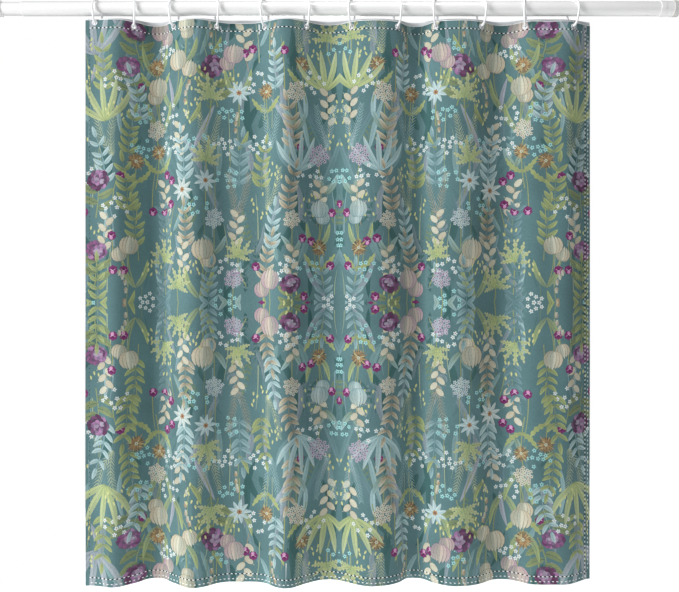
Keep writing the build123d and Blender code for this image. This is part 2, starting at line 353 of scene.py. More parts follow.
def lobed(u, v, radius, colour, centre):
    """A small flower as one five-lobed outline, with a round centre."""
    start, steps = dice.uniform(0, 360), 15
    outline = [turned(u, v, radius * (1 if k % 3 else 0.55), 0, start + 360 * k / steps) for k in range(steps)]
    add(outline, colour, mix(colour, WHITE, 0.4), (u - radius, v - radius), (u + radius, v + radius))
    oval(u - radius * 0.28, v, radius * 0.56, radius * 0.56, 0, centre, steps=6)


def scatter(u, v, wide, tall, count, gap):
    """Spots spread over an oval, none closer than gap."""
    spots = []
    tries = 0
    while len(spots) < count and tries < 4000:
        tries += 1
        a, r = dice.uniform(0, 2 * math.pi), math.sqrt(dice.random())
        spot = (u + wide / 2 * r * math.cos(a), v + tall / 2 * r * math.sin(a))
        if all(math.hypot(spot[0] - p, spot[1] - q) > gap for p, q in spots):
            spots.append(spot)
    return spots


def floret_ball(u, v, radius, pale, deep):
    """A round head of many small florets."""
    for k in range(24):
        r, a = radius * math.sqrt((k + 0.5) / 24), math.radians(137.5 * k)
        colour = mix(pale, deep, dice.choice((0.0, 0.1, 0.35)))
        lobed(u + r * math.cos(a), v + r * math.sin(a), radius * 0.22, colour, PLUM)


def tulip(u, v, angle, length, width, colour, deep):
    """A cup of five pointed petals from its base at (u, v), opening along angle, the outer ones first."""
    for k in (0, 4, 1, 3, 2):
        share = k / 4 - 0.5
        base = turned(u, v, 0, share * width * 0.3, angle)
        middle = turned(u, v, length * 0.42, share * width * 0.78, angle)
        end = turned(u, v, length * (1 - 0.3 * abs(share)), share * width * 0.62, angle)
        back = mix(colour, deep, 0.75 * abs(share) + dice.uniform(0, 0.15))
        blade([base, middle, end], width * 0.36, back, mix(back, CREAM, 0.4), mix(back, deep, 0.6),
              6, 0.45, 0.2, 0.9)


def marigold(u, v, radius):
    """Rings of narrow ragged petals round a rough dark centre."""
    fills = OCHRE, mix(OCHRE, RUST, 0.7), mix(RUST, DARK, 0.25), mix(OCHRE, STRAW, 0.5)
    oval(u - radius * 0.7, v, radius * 1.4, radius * 1.4, 0, mix(RUST, DARK, 0.6), steps=12)
    for reach, count in ((1.0, 19), (0.74, 14), (0.5, 9)):
        for k in range(count):
            angle = 360 * k / count + dice.uniform(-9, 9) + 90 * reach
            colour = dice.choice(fills)
            base = turned(u, v, radius * 0.14, 0, angle)
            length = radius * (reach - 0.14) * dice.uniform(0.78, 1.05)
            oval(*base, length, radius * 0.17, angle, colour, mix(colour, STRAW, 0.35), 0.3, 6)
    rosette(u, v, radius * 0.2, 6, mix(WHITE, STRAW, 0.5), RUST, 0, 0.6)


def peony(u, v, wide, tall, angle, rim, light):
    """Ruffled petals in rings, dark between, round a pale heart."""
    heart_at = 0.12
    rings = ((0.98, 11, 0.6, 0.0, (rim, light, mix(rim, PLUM, 0.5))),
             (0.74, 7, 0.54, 0.5, (light, rim, mix(rim, PLUM, 0.7))),
             (0.5, 5, 0.48, 0.8, (rim, light, mix(light, PINK, 0.6))))
    for reach, count, size, in_from_rim, colours in rings:
        for k in range(count):
            a = 2 * math.pi * k / count + dice.uniform(-0.14, 0.14) + reach
            far = reach * dice.uniform(0.88, 1.05)
            out = wide * (far * math.cos(a) + heart_at * in_from_rim)
            end = turned(u, v, out, tall * far * math.sin(a), angle)
            near = turned(u, v, wide * heart_at, 0, angle)
            ruffle = size * wide * dice.uniform(-0.16, 0.16)
            middle = turned((end[0] + near[0]) / 2, (end[1] + near[1]) / 2, 0, ruffle, angle)
            colour = dice.choice(colours)
            blade([near, middle, end], wide * size, colour, mix(colour, PINK, dice.uniform(0, 0.5)),
                  mix(colour, PLUM, 0.5), 6, 0.66, 0.3, 0.8)
    for k in range(5):
        at = turned(u, v, wide * (heart_at + dice.uniform(-0.16, 0.16)), tall * dice.uniform(-0.22, 0.2), angle)
        tone = mix(LILAC, rim, dice.uniform(0, 0.35))
        oval(*at, wide * 0.4, wide * 0.26, 51 * k, tone, mix(tone, WHITE, 0.15), 0.2, 8)


def bloom(u, v, radius):
    """A small round magenta flower with a pale lower petal."""
    rosette(u, v, radius, 7, MAGENTA, None, 10, 0.85, mix(MAGENTA, PLUM, 0.5))
    rosette(u, v - radius * 0.12, radius * 0.62, 5, PLUM, None, 40, 0.8, MAGENTA)
    oval(u - radius * 0.3, v + radius * 0.1, radius * 0.8, radius * 0.72, 60, PINK, mix(PINK, MAUVE, 0.3))
    line([(u - radius * 0.5, v - radius * 0.1), (u, v + radius * 0.12), (u + radius * 0.5, v - radius * 0.22)],
         2.2, mix(PINK, WHITE, 0.4))


def pod(u, v, angle):
    """A flat papery seed pod, drawn out to a spike at its far end."""
    length, width = 44 * 0.92, 29 * 0.92
    line([turned(u, v, length * 0.75, 0, angle), turned(u, v, length * 1.2, 0, angle)], 4, CREAM, 2, 0.8)
    oval(*turned(u, v, -1.2, 0, angle), length + 2.4, width + 2.4, angle, mix(DARK, CREAM, 0.2), None, 0.16, 10)
    fill = mix(CREAM, TAN, dice.uniform(0.0, 0.4))
    oval(u, v, length, width, angle, fill, mix(fill, CREAM, 0.5), 0.16, 10)
    for across in (-0.27, 0.24):
        line([turned(u, v, length * 0.2, across * width, angle),
              turned(u, v, length * 0.75, across * width * 0.8, angle)], 1.0, mix(fill, TAN, 0.4), 2)


def bell(u, v, colour):
    """A small hanging bud with a folded petal."""
    length, width = 27, 22
    colour = mix(colour, GROUND, 0.18)
    oval(u - length * 0.4, v, length * 0.8, width * 0.72, 80, colour, mix(colour, CREAM, 0.4), 0.2, 8)
    fold = [(u - length * 0.34, v + 2), (u - length * 0.5, v + length * 0.4),
            (u - length * 0.34, v + length * 0.85)]
    blade(fold, width * 0.36, mix(colour, RUST, 0.3), colour, None, 6)
    rosette(u - length * 0.34, v + length * 0.76, width * 0.26, 3, mix(CREAM, colour, 0.3), None, 20, 0.9)


def jagged(points, width, colour, tip, vein=OLIVE, depth=0.5):
    """A leaf with five deep forward-pointing teeth."""
    teeth = 5
    path = smooth(points, teeth * 3)

    def half(t):
        k = t * teeth % 1
        swell = math.sin(math.pi * min(t, 0.999) ** 0.8) ** 0.7
        return width / 2 * swell * (1 - depth + depth * (k / 0.66 if k < 0.66 else (1 - k) / 0.34))

    left, right = sides(path, half)
    add(left + right[::-1][1:-1], colour, tip, path[0], path[-1])
    line(points, max(width * 0.05, 1.0), vein)


def feather(points, length, colour):
    """A stem with many narrow leaflets, like an ear of barley."""
    count = 16
    path = smooth(points, count)
    line(points, 1.8, colour)
    for k in range(count):
        size = 0.6 + 0.4 * math.sin(math.pi * (k + 1) / (count + 1))
        for side in (1, -1):
            tone = mix(colour, GROUND, dice.uniform(0, 0.4))
            oval(*path[k], length * size * 0.85, 3.6, bearing(path[k], path[k + 1]) + side * 38, tone,
                 mix(tone, WHITE, 0.2), 0.6, 6)


def star_flower(u, v, radius, petals, colour, start):
    """Narrow petals round a small ochre centre."""
    for k in range(petals):
        leaf(u, v, start + 360 * k / petals, radius * dice.uniform(0.86, 1.05), radius * 0.3, colour,
             mix(colour, GREY_BLUE, 0.6), 0.03)
    rosette(u, v, radius * 0.22, 6, OCHRE, PLUM, 15, 0.7)


def parsley(u, v, size, angle):
    """Jagged leaflets fanning from one point."""
    for turn, reach in ((-100, 0.7), (100, 0.7), (-62, 0.86), (62, 0.86), (-30, 0.92), (30, 0.92), (0, 1.05)):
        reach *= size * dice.uniform(0.9, 1.08)
        end = turned(u, v, reach, 0, angle + turn)
        middle = turned(u, v, reach * 0.5, reach * dice.uniform(-0.08, 0.08), angle + turn)
        tone = mix(LIME, GROUND, dice.uniform(0, 0.3))
        jagged([(u, v), middle, end], size * 0.3, tone, STRAW, mix(OLIVE, DARK, 0.3), 0.68)


def ground_leaves():
    """Tone-on-tone leaves behind everything."""
    for k in range(66):
        u, v = dice.uniform(0, HALF), dice.uniform(0, HALF)
        tone = mix(GROUND, GROUND_DARK, dice.uniform(0.2, 0.9)) if k % 3 else mix(GROUND, SMOKE, 0.5)
        angle = dice.choice((-90, 90)) + dice.uniform(-38, 38)
        leaf(u, v, angle, dice.uniform(60, 170), dice.uniform(12, 30), tone, mix(tone, DARK, 0.3), 0.1)
    for k in range(28):
        u, v = dice.uniform(0, HALF), dice.uniform(0, HALF)
        tone = mix(GROUND, dice.choice((PALE_BLUE, OLIVE, GREY_BLUE, GREY_LILAC)), dice.uniform(0.25, 0.6))
        lean = dice.uniform(-30, 30)
        sprig([(u, v), (u + lean * 0.6, v - 40), (u + lean, v - 84)], 4, dice.uniform(20, 34),
              dice.uniform(6, 11), tone, mix(tone, DARK, 0.5), 1.8)


def straps():
    """Long pale leaves, half lost in the ground."""
    for k in range(84):
        u, v = dice.uniform(0, HALF), dice.uniform(0, HALF)
        tone = mix(GROUND, dice.choice((PALE_BLUE, GREY_BLUE, GREY_LILAC, SMOKE)), dice.uniform(0.45, 0.95))
        leaf(u, v, -90 + dice.uniform(-30, 30), dice.uniform(90, 200), dice.uniform(13, 24), tone,
             mix(tone, DARK, 0.4), dice.uniform(-0.12, 0.12))


def grass():
    """Thin stems and blades that rise through the whole drawing."""
    for k in range(64):
        u, v = dice.uniform(10, HALF - 10), dice.uniform(60, HALF)
        rise = dice.uniform(70, 190)
        lean = dice.uniform(-22, 22)
        colour = dice.choice((OLIVE, mix(OLIVE, GROUND, 0.5), GREY_BLUE, mix(STRAW, GROUND, 0.4)))
        line([(u, v), (u + lean * 0.2, v - rise * 0.5), (u + lean, v - rise)], dice.uniform(2.5, 5), colour,
             taper=0.8)


# ================================================================ print: whole plants, each from its head down
def stalk(u, v, lean, rise=150, width=4.5, colour=OLIVE):
    """A stem from a head at (u, v) to its foot, which it gives back."""
    foot = (u + 42 * lean, v + rise)
    line([(u, v), (u + 8 * lean, v + rise * 0.5), foot], width, colour, 6, 0)
    return foot


def tulips(u, v, lean):
    colour, deep = dice.choice(((CREAM, PEACH), (ICE, GREY_BLUE), (BLUSH, MAUVE), (CREAM, TAN)))
    foot = stalk(u, v, lean, 165)
    for side in (1, -1):
        leaf(*foot, -90 + side * 25, 135, 24, mix(OLIVE, GREY_BLUE, 0.4), DARK, side * 0.1, 0, LIME)
    line([(u - 42 * lean, v + 48), foot], 4, OLIVE, 2, 0)
    tulip(u - 42 * lean, v + 50, -90 - 16 * lean, 66, 58, colour, deep)
    tulip(u, v + 20, -90 + 8 * lean, 84, 76, colour, deep)


def peonies(u, v, lean):
    stalk(u, v, lean)
    for k in range(4):
        side = 1 if k % 2 else -1
        leaf(u + 12 * lean, v + 46 + 22 * k, -90 + side * 64, 78, 30, mix(OLIVE, DARK, 0.2), DARK,
             side * 0.1, 3, OLIVE)
    rim, light = dice.choice(((MAGENTA, MAUVE), (MAUVE, PINK), (PLUM, MAUVE)))
    peony(u, v, 52, 43, dice.uniform(-30, 30), rim, light)


def marigolds(u, v, lean):
    stalk(u, v, lean)
    for side in (1, -1):
        jagged([(u + 8 * lean, v + 84), (u + side * 36, v + 62), (u + side * 66, v + 24)], 26, OLIVE, LIME)
    marigold(u, v, dice.uniform(36, 44))


def pods(u, v, lean):
    foot = stalk(u, v - 34, lean, 180, 3.0, TAN)
    for k in range(6):
        side = 1 if k % 2 else -1
        at = 0.12 + 0.13 * k
        pod(u + (foot[0] - u) * at * 0.5, v - 34 + 180 * at, -90 + side * 48)


def leafy(u, v, lean):
    colour, tip = dice.choice(((OLIVE, LIME), (GREY_BLUE, PALE_BLUE), (PALE_BLUE, ICE), (SMOKE, GREY_BLUE),
                               (TAN, CREAM)))
    sprig([(u + 24 * lean, v + 116), (u + 14 * lean, v + 20), (u - 22 * lean, v - 66)], 5, 58, 21, colour,
          tip=tip)


def lances(u, v, lean):
    colour = dice.choice((GREY_LILAC, LIME, PALE_BLUE, CREAM))
    for k in range(-2, 3):
        angle = -90 + 22 * k + 10 * lean
        middle, end = turned(u, v + 96, 90, 8 * k, angle), turned(u, v + 96, 172, 0, angle)
        blade([(u, v + 96), middle, end], 25, colour, mix(colour, WHITE, 0.4), mix(colour, DARK, 0.5))


def parsleys(u, v, lean):
    stalk(u, v + 24, lean, 130)
    parsley(u, v + 24, 84, -90 + 12 * lean)


def barley(u, v, lean):
    colour = dice.choice((STRAW, PALE_BLUE, TAN))
    for side in (1, -1):
        feather([(u + 30 * lean, v + 120), (u + 22 * side, v + 30), (u + 42 * side, v - 62)], 34, colour)


def bells(u, v, lean):
    path = [(u + 26 * lean, v + 116), (u, v), (u + 52 * lean, v - 58)]
    line(path, 3, OLIVE, 10)
    for at in (3, 5, 7, 9, 11):
        bell(*smooth(path, 12)[at], dice.choice((PEACH, BLUSH, CREAM)))
    leaf(u + 26 * lean, v + 110, -62, 90, 20, OLIVE, tip=LIME)


def balls(u, v, lean):
    foot = stalk(u, v, lean)
    for side in (1, -1):
        leaf(*foot, -90 + side * 32, 96, 24, mix(OLIVE, GREY_BLUE, 0.5), tip=PALE_BLUE)
    floret_ball(u, v, dice.uniform(34, 42), *dice.choice(((LILAC, MAUVE), (ICE, GREY_LILAC), (CREAM, PEACH))))


def stars(u, v, lean):
    stalk(u, v, lean, 130)
    star_flower(u, v, 52, 9, dice.choice((WHITE, ICE, BLUSH)), 90 * lean)


def small_flowers(u, v):
    """A loose patch of one kind of small flower."""
    kind = dice.randrange(4)
    if kind < 2:
        colour, centre = ((AQUA, GROUND_DARK), (ICE, OCHRE))[kind]
        for spot in scatter(u, v, 90, 70, 9, 14):
            lobed(*spot, 7.5, colour, centre)
    elif kind == 2:
        for spot in scatter(u, v, 80, 80, 9, 13):
            oval(*spot, 14, 8, -90 + dice.uniform(-30, 30), LIME, STRAW, 0.4, 7)
    else:
        for spot in scatter(u, v, 60, 40, dice.randrange(1, 3), 30):
            bloom(*spot, 16)


# ================================================================ print: the planting
# The quarter is a square bed of cells. Each has one plant near its middle, and small flowers fill the corners.
CELLS, PLANT_SIZE, MUTED = 9, 0.8, 0.16
cell = HALF / CELLS
beds = ([tulips] * 9 + [peonies] * 6 + [marigolds] * 6 + [pods] * 9 + [leafy] * 20 + [lances] * 4
        + [parsleys] * 6 + [barley] * 7 + [bells] * 5 + [balls] * 6 + [stars] * 3)
dice.shuffle(beds)


def planted(plant, u, v):
    """Draw a plant, then shrink it towards its head and mute its inks with the ground's."""
    first = len(shapes)
    plant(u, v, dice.uniform(-1, 1))
    size = PLANT_SIZE * dice.uniform(0.9, 1.1)
    for index in range(first, len(shapes)):
        outline, colour, tip, *ends = shapes[index]
        shrunk = [[(u + (p - u) * size, v + (q - v) * size) for p, q in spots] for spots in (outline, ends)]
        shapes[index] = (shrunk[0], mix(colour, GROUND, MUTED), mix(tip, GROUND, MUTED), *shrunk[1])


ground_leaves()
straps()
grass()
for row in range(CELLS):
    for column in range(CELLS):
        planted(beds[row * CELLS + column], (column + 0.5 + dice.uniform(-0.25, 0.25)) * cell,
                (row + 0.3 + dice.uniform(-0.2, 0.2)) * cell)
    for column in range(CELLS + 1):
        if dice.random() < 0.7:
            small_flowers((column + dice.uniform(-0.2, 0.2)) * cell, (row + 0.95) * cell)


# ================================================================ mesh helpers
def new_object(name, points, faces, material, smooth_faces=True):
    mesh = bpy.data.meshes.new(name)
    mesh.from_pydata([tuple(p) for p in points], [], [tuple(f) for f in faces])
    mesh.update()
    obj = bpy.data.objects.new(name, mesh)
    bpy.context.scene.collection.objects.link(obj)
    mesh.materials.append(material)
    mesh.polygons.foreach_set("use_smooth", [smooth_faces] * len(mesh.polygons))
    return obj


def set_flat_uv(obj, flat):
    """Keep the flat cloth coordinates, in metres, for the weave."""
    layer = obj.data.uv_layers.new(name="flat")
    index = np.empty(len(obj.data.loops), int)
    obj.data.loops.foreach_get("vertex_index", index)
    layer.data.foreach_set("uv", (np.asarray(flat)[index] * MM).astype("f").ravel())


def linear(c):
    c = np.asarray(c, float)
    return np.where(c <= 0.04045, c / 12.92, ((c + 0.055) / 1.055) ** 2.4)


# ================================================================ materials
def material(name, colour, roughness=0.5):
    m = bpy.data.materials.new(name)
    m.use_nodes = True
    shader = m.node_tree.nodes["Principled BSDF"]
    shader.inputs["Base Color"].default_value = (*linear(colour), 1)
    shader.inputs["Roughness"].default_value = roughness
    return m, m.node_tree, shader


def node(tree, kind, **values):
    n = tree.nodes.new(kind)
    for key, value in values.items():
        if key in n.inputs:
            n.inputs[key].default_value = value
        else:
            setattr(n, key, value)
    return n


def wire(tree, a, b):
    tree.links.new(a, b)


def mixed(tree, factor, a, b):
    """A mix of the colours a and b by a factor socket."""
    n = node(tree, "ShaderNodeMix", data_type="RGBA")
    wire(tree, factor, n.inputs[0])
    n.inputs[6].default_value = a
    n.inputs[7].default_value = b
    return n.outputs[2]


def product(tree, a, b):
    n = node(tree, "ShaderNodeMath", operation="MULTIPLY")
    wire(tree, a, n.inputs[0])
    wire(tree, b, n.inputs[1])
    return n.outputs[0]


def noise(tree, place, **values):
    """Noise over the given coordinates."""
    n = node(tree, "ShaderNodeTexNoise", **values)
    wire(tree, place, n.inputs["Vector"])
    return n.outputs["Fac"]


def spread(tree, value, low, high, **values):
    """A value mapped to run from low to high."""
    n = node(tree, "ShaderNodeMapRange", **{"To Min": low, "To Max": high}, **values)
    wire(tree, value, n.inputs["Value"])
    return n.outputs[0]


def bumped(tree, shader, height, strength, distance):
    """Give the surface small bumps of the given height."""
    bump = node(tree, "ShaderNodeBump", Strength=strength, Distance=distance)
    wire(tree, height, bump.inputs["Height"])
    wire(tree, bump.outputs[0], shader.inputs["Normal"])


def weave_height(tree, threads):
    """A plain weave over the flat cloth coordinates: threads per metre."""
    uv = node(tree, "ShaderNodeUVMap", uv_map="flat")
    scale = node(tree, "ShaderNodeVectorMath", operation="SCALE")
    scale.inputs[3].default_value = threads
    wire(tree, uv.outputs[0], scale.inputs[0])
    across = node(tree, "ShaderNodeTexWave", wave_type="BANDS", bands_direction="X", Scale=1.0, Distortion=0.6)
    down = node(tree, "ShaderNodeTexWave", wave_type="BANDS", bands_direction="Y", Scale=1.0, Distortion=0.6)
    for wave in (across, down):
        wire(tree, scale.outputs[0], wave.inputs["Vector"])
    return uv.outputs[0], product(tree, across.outputs["Fac"], down.outputs["Fac"])


def cloth_material():
    m, tree, shader = material("printed_cloth", GROUND, 0.82)
    shader.inputs["Sheen Weight"].default_value = 0.12
    shader.inputs["Sheen Roughness"].default_value = 0.5
    shader.inputs["Specular IOR Level"].default_value = 0.25
    uv, weave = weave_height(tree, 220.0)
    ink = node(tree, "ShaderNodeAttribute", attribute_name="print")
    middle_part = {"From Min": 0.3, "From Max": 0.7}
    wash = spread(tree, noise(tree, uv, Scale=5.0, Detail=5.0, Roughness=0.6), 0.86, 1.1, **middle_part)
    speck = spread(tree, noise(tree, uv, Scale=170.0, Detail=3.0, Roughness=0.7), 0.88, 1.1, **middle_part)
    tone = node(tree, "ShaderNodeVectorMath", operation="SCALE")
    wire(tree, ink.outputs["Color"], tone.inputs[0])
    wire(tree, product(tree, wash, speck), tone.inputs[3])
    wire(tree, tone.outputs[0], shader.inputs["Base Color"])
    bumped(tree, shader, weave, 0.35, 0.0003)
    return m


def plain_cloth_material(name, colour, threads=260.0):
    m, tree, shader = material(name, colour, 0.85)
    uv, weave = weave_height(tree, threads)
    haze = noise(tree, uv, Scale=6.0, Detail=4.0)
    dark = linear(mix(colour, (0.5, 0.52, 0.54), 0.16))
    wire(tree, mixed(tree, haze, (*linear(colour), 1), (*dark, 1)), shader.inputs["Base Color"])
    bumped(tree, shader, weave, 0.3, 0.0002)
    return m


def gloss_material(name, colour, roughness, grain_scale=300.0, grain=0.03, dark=0.04, coat=0.0):
    """Moulded plastic or paint: slightly uneven tone and a fine orange-peel bump."""
    m, tree, shader = material(name, colour, roughness)
    shader.inputs["Coat Weight"].default_value = coat
    place = node(tree, "ShaderNodeTexCoord").outputs["Object"]
    spots = noise(tree, place, Scale=grain_scale, Detail=3.0)
    cloud = noise(tree, place, Scale=9.0, Detail=3.0)
    tone = mixed(tree, cloud, (*linear(colour), 1), (*(linear(colour) * (1 - dark)), 1))
    wire(tree, tone, shader.inputs["Base Color"])
    wire(tree, spread(tree, spots, roughness * 0.8, roughness * 1.25), shader.inputs["Roughness"])
    bumped(tree, shader, spots, grain, 0.0005)
    return m


cloth = cloth_material()
lining = plain_cloth_material("cloth_back", srgb(214, 220, 219))
lining_fold = plain_cloth_material("cloth_fold", srgb(203, 211, 210))
liner_film = plain_cloth_material("liner_film", srgb(226, 229, 232), 140.0)
liner_fold = plain_cloth_material("liner_fold", srgb(205, 211, 217), 140.0)
thread_white = gloss_material("thread_white", srgb(240, 244, 243), 0.7, 900.0, 0.4)
# Near-black painted shade: the spots beside the raised stitches stand for the shade round them as well as their
# needle holes.
stitch_shade_dark = gloss_material("painted_stitch_shade", srgb(12, 20, 20), 0.9)
white_edge = gloss_material("cut_edge", srgb(240, 242, 242), 0.6, 900.0, 0.3)
rod_paint = gloss_material("rod_paint", srgb(244, 244, 243), 0.22, 240.0, 0.02, 0.03, 0.3)
cap_plastic = gloss_material("cap_plastic", srgb(246, 246, 245), 0.3, 260.0, 0.03)
foot_rubber = gloss_material("foot_rubber", srgb(214, 214, 210), 0.6, 500.0, 0.1, 0.08)
dark_plastic = gloss_material("mechanism_plastic", srgb(60, 60, 64), 0.5)
steel = gloss_material("mechanism_steel", srgb(170, 170, 172), 0.3)
steel.node_tree.nodes["Principled BSDF"].inputs["Metallic"].default_value = 1.0
ring_plastic = gloss_material("ring_plastic", srgb(246, 247, 248), 0.25, 320.0, 0.02, 0.02, 0.2)
eyelet_paint = gloss_material("eyelet_white", srgb(236, 236, 238), 0.3, 500.0, 0.03, 0.03)


def dress(nodes, m):
    for name in nodes:
        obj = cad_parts[name]
        obj.data.materials.clear()
        obj.data.materials.append(m)


dress(["outer_tube", "inner_tube"], rod_paint)
dress(["right_cap", "left_cap", "mouth_bush"], cap_plastic)
dress(["right_foot", "left_foot"], foot_rubber)
dress(["inner_bush", "lock_cone", "lock_sleeve"], dark_plastic)
dress(["spindle", "spindle_nut", "preload_spring"], steel)
dress([f"ring_{n:02d}" for n in RING_NUMBERS], ring_plastic)


# ================================================================ printed panel
def clipped(outline):
    """An outline cut off at the quarter's four borders."""
    for axis, limit, sign in ((0, 0.0, 1), (0, HALF, -1), (1, 0.0, 1), (1, HALF, -1)):
        kept = []
        for here, there in zip(outline, outline[1:] + outline[:1]):
            a, b = sign * (here[axis] - limit), sign * (there[axis] - limit)
            if a >= 0:
                kept.append(here)
            if (a >= 0) != (b >= 0):
                t = a / (a - b)
                kept.append(tuple(p + (q - p) * t for p, q in zip(here, there)))
        outline = kept
    return outline


def topmost(spots):
    """Which shape is on top at each spot, by winding number."""
    order = np.argsort(spots[:, 0])
    u, v = spots[order].T
    top = np.zeros(len(spots), int)
    for index, (outline, *_rest) in enumerate(outlines):
        if len(outline) < 3:
            continue
        p = np.array(outline)
        first, last = np.searchsorted(u, (p[:, 0].min(), p[:, 0].max()))
        near = first + np.nonzero((v[first:last] > p[:, 1].min()) & (v[first:last] < p[:, 1].max()))[0]
        if not len(near):
            continue
        q = np.roll(p, -1, axis=0)
        rising = (p[:, 1] <= v[near, None]) & (q[:, 1] > v[near, None])
        falling = (q[:, 1] <= v[near, None]) & (p[:, 1] > v[near, None])
        side = (q[:, 0] - p[:, 0]) * (v[near, None] - p[:, 1]) - (q[:, 1] - p[:, 1]) * (u[near, None] - p[:, 0])
        winding = (rising & (side > 0)).sum(1) - (falling & (side < 0)).sum(1)
        top[near[winding != 0]] = index
    result = np.empty(len(spots), int)
    result[order] = top
    return result


def triangulate(points, edges):
    flat_points, _e, found, *_rest = delaunay_2d_cdt([Vector(p) for p in points], edges, [], 0, 1e-3)
    found = np.array([f for f in found if len(f) == 3])
    return np.array([tuple(p) for p in flat_points]), found


def doubled_area(spots, found):
    a, b, c = (spots[found[:, k]] for k in range(3))
    return (b[:, 0] - a[:, 0]) * (c[:, 1] - a[:, 1]) - (b[:, 1] - a[:, 1]) * (c[:, 0] - a[:, 0])


def facing(spots, found):
    """The triangles turned to face the room."""
    return np.where((doubled_area(spots, found) < 0)[:, None], found, found[:, ::-1])


def hole_rim(u, v, radius):
    angles = [2 * math.pi * (k + 0.5) / RIM_POINTS for k in range(RIM_POINTS)]
    return [(u + radius * math.cos(a), v + radius * math.sin(a)) for a in angles]


def visible_edges():
    """The drawing's outlines without the parts that other shapes cover."""
    points, edges = [], []
    for outline, *_rest in outlines:
        first = len(points)
        points += outline
        edges += [(first + k, first + (k + 1) % len(outline)) for k in range(len(outline))]
    spots, found = triangulate(points, edges)
    top = topmost(spots[found].mean(axis=1))
    pairs = np.sort(np.concatenate([found[:, [0, 1]], found[:, [1, 2]], found[:, [2, 0]]]), axis=1)
    owner = np.tile(top, 3)
    order = np.lexsort((pairs[:, 1], pairs[:, 0]))
    pairs, owner = pairs[order], owner[order]
    same = (pairs[1:] == pairs[:-1]).all(1)
    seen = same & (owner[1:] != owner[:-1])
    kept = pairs[1:][seen]
    used, index = np.unique(kept, return_inverse=True)
    return spots[used], index.reshape(-1, 2)


def quarter(mirror_u, mirror_v):
    """One quarter of the cloth in triangles, with the shape on top of each one."""
    points = [tuple(p) for p in line_points]
    edges = [tuple(e) for e in line_ends.tolist()]

    def add_line(a, b):
        points.extend((a, b))
        edges.append((len(points) - 2, len(points) - 1))

    for k in range(COLUMNS + 1):
        add_line((HALF * k / COLUMNS, 0.0), (HALF * k / COLUMNS, HALF))
    for k in range(ROWS + 1):
        add_line((0.0, HALF * k / ROWS), (HALF, HALF * k / ROWS))
    holes_here = []
    for u, v in eyelet_holes:
        u, v = WIDTH - u if mirror_u else u, v / DROP
        if u < HALF and not mirror_v:
            holes_here.append((u, v))
            first = len(points)
            points.extend(hole_rim(u, v, HOLE_R))
            edges.extend((first + k, first + (k + 1) % RIM_POINTS) for k in range(RIM_POINTS))
    spots, found = triangulate(points, edges)
    middle = spots[found].mean(axis=1)
    keep = np.ones(len(found), bool)
    for u, v in holes_here:
        keep &= np.hypot(middle[:, 0] - u, middle[:, 1] - v) > HOLE_R * 0.98
    # slivers that lie on a border would span the folds
    corners = spots[found]
    for limit in (0.0, HALF):
        keep &= (np.abs(corners - limit) > ON_BORDER).any(axis=1).all(axis=1)
    found, top = found[keep], topmost(middle[keep])
    if mirror_u:
        spots[:, 0] = WIDTH - spots[:, 0]
    spots[:, 1] *= DROP
    if mirror_v:
        spots[:, 1] = HEIGHT - spots[:, 1]
    return spots, found, top


HOLE_R, RIM_POINTS = 7.3, 20
COLUMNS, ROWS = 56, 10
ON_BORDER = 0.01
outlines = [(clipped(outline), *rest) for outline, *rest in shapes]
line_points, line_ends = visible_edges()
flat, tris, tops = np.zeros((0, 2)), np.zeros((0, 3), int), np.zeros(0, int)
for mirror_u in (False, True):
    for mirror_v in (False, True):
        spots, found, top = quarter(mirror_u, mirror_v)
        tris = np.concatenate([tris, found + len(flat)])
        flat = np.concatenate([flat, spots])
        tops = np.concatenate([tops, top])
_, first_seen, joined = np.unique(np.round(flat, 2), axis=0, return_index=True, return_inverse=True)
flat, tris = flat[first_seen], joined.reshape(-1)[tris]
distinct = (tris[:, 0] != tris[:, 1]) & (tris[:, 1] != tris[:, 2]) & (tris[:, 2] != tris[:, 0])
tris, tops = tris[distinct], tops[distinct]
tris = facing(flat, tris)
panel = new_object("curtain_cloth", hang(flat[:, 0], flat[:, 1], 0.25), tris, cloth)
set_flat_uv(panel, flat)
colours = np.zeros((len(tris) * 3, 4), "f")
base, tip, starts, ends = (np.array([shape[k] for shape in shapes])[tops] for k in (1, 2, 3, 4))
corner = flat[tris]
corner = np.stack([np.where(corner[..., 0] > HALF, WIDTH - corner[..., 0], corner[..., 0]),
                   np.minimum(corner[..., 1], HEIGHT - corner[..., 1]) / DROP], axis=-1)
way = ends - starts
way_squared = np.maximum((way ** 2).sum(-1), 1e-9)
share = np.clip(((corner - starts[:, None]) * way[:, None]).sum(-1) / way_squared[:, None], 0, 1)
colours[:, :3] = linear(base[:, None] + (tip - base)[:, None] * share[..., None]).reshape(-1, 3)
colours[:, 3] = 1
ink_layer = panel.data.color_attributes.new("print", "FLOAT_COLOR", "CORNER")
ink_layer.data.foreach_set("color", colours.ravel())


# ================================================================ back of the cloth, and the liner
def layer(name, hang_at, across, down, m, holes=(), radius=0.0):
    """A sheet over part of the flat cloth, with round holes. across and down are (from, to, point count)."""
    u, v = np.meshgrid(np.linspace(*across), np.linspace(*down))
    spots = np.stack([u.ravel(), v.ravel()], axis=-1)
    edges, rims = [], []
    for hole in holes:
        spots = spots[np.hypot(*(spots - hole).T) > radius * 1.12]
        rims += hole_rim(*hole, radius)
    for k in range(len(rims)):
        edges.append((len(spots) + k, len(spots) + k - k % RIM_POINTS + (k + 1) % RIM_POINTS))
    spots, found = triangulate([*spots, *rims], edges)
    middle = spots[found].mean(axis=1)
    for hole in holes:
        kept = np.hypot(*(middle - hole).T) > radius * 0.96
        middle, found = middle[kept], found[kept]
    # slivers along a straight border would span the folds
    found = found[np.abs(doubled_area(spots, found)) > SLIVER]
    obj = new_object(name, hang_at(*spots.T), facing(spots, found), m)
    set_flat_uv(obj, spots)
    return obj


